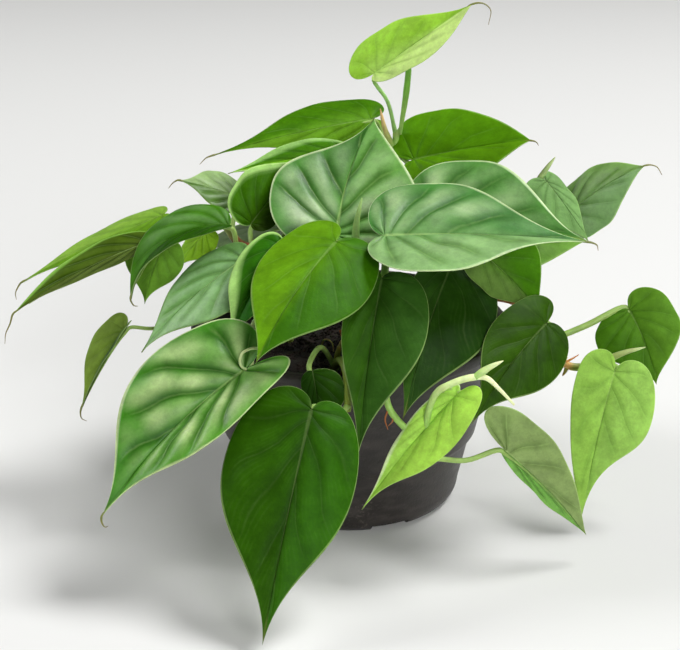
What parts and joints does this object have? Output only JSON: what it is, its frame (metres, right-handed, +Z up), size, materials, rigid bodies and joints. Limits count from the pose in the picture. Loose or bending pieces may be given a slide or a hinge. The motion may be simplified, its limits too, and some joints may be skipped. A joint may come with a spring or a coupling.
{
  "type": "potted heartleaf philodendron",
  "caption": "Potted heartleaf philodendron: glossy heart-shaped leaves with drip tips on short trailing stems, in a dark plastic nursery pot.",
  "frame": {"origin": "centre of the pot's underside, on the surface that the pot stands on", "axes": "+Z up, -Y towards the side seen in the picture, +X to its right"},
  "size_m": [0.2467, 0.223, 0.1852],
  "materials": {
    "pot_plastic": "moulded, satin, lightly scuffed",
    "soil": "damp, crumbly",
    "stem": "smooth, waxy",
    "leaf": "waxy, satin sheen",
    "young_leaf": "soft satin"
  },
  "bodies": {
    "root": {"pot": "pot_plastic", "soil": "soil", "stem_back": "stem", "stem_centre": "stem", "stem_left": "stem", "stem_right": "stem", "stem_right_low": "stem", "stem_front_right": "stem", "stem_front": "stem", "leaf_top": "young_leaf", "leaf_upper_right": "leaf", "leaf_upper_left": "leaf", "leaf_upper_left_low": "leaf", "leaf_back_upright": "leaf", "leaf_centre": "leaf", "leaf_right_front": "leaf", "leaf_right_behind": "leaf", "leaf_far_right_high": "leaf", "leaf_right_folded": "leaf", "leaf_right_hanging": "leaf", "leaf_right_dark": "leaf", "leaf_far_right": "leaf", "leaf_right_low": "young_leaf", "leaf_right_turned": "leaf", "leaf_half_rolled": "young_leaf", "leaf_centre_dark": "leaf", "leaf_centre_shaded": "leaf", "leaf_rim_small": "leaf", "leaf_front": "leaf", "leaf_left_front": "leaf", "leaf_left_mid": "leaf", "leaf_left_inner": "leaf", "leaf_left_hood": "leaf", "leaf_left_arched": "leaf", "leaf_left_under": "leaf", "leaf_far_left_back": "leaf", "leaf_far_left_front": "leaf", "leaf_left_pale": "young_leaf", "leaf_left_silver": "leaf", "leaf_left_small": "leaf", "leaf_back_left": "leaf", "leaf_back_right": "leaf", "leaf_back_low": "leaf", "leaf_back_high": "leaf", "leaf_back_far_right": "leaf", "leaf_back_inner": "leaf", "leaf_top_rolled": "young_leaf"}
  },
  "joints": []
}
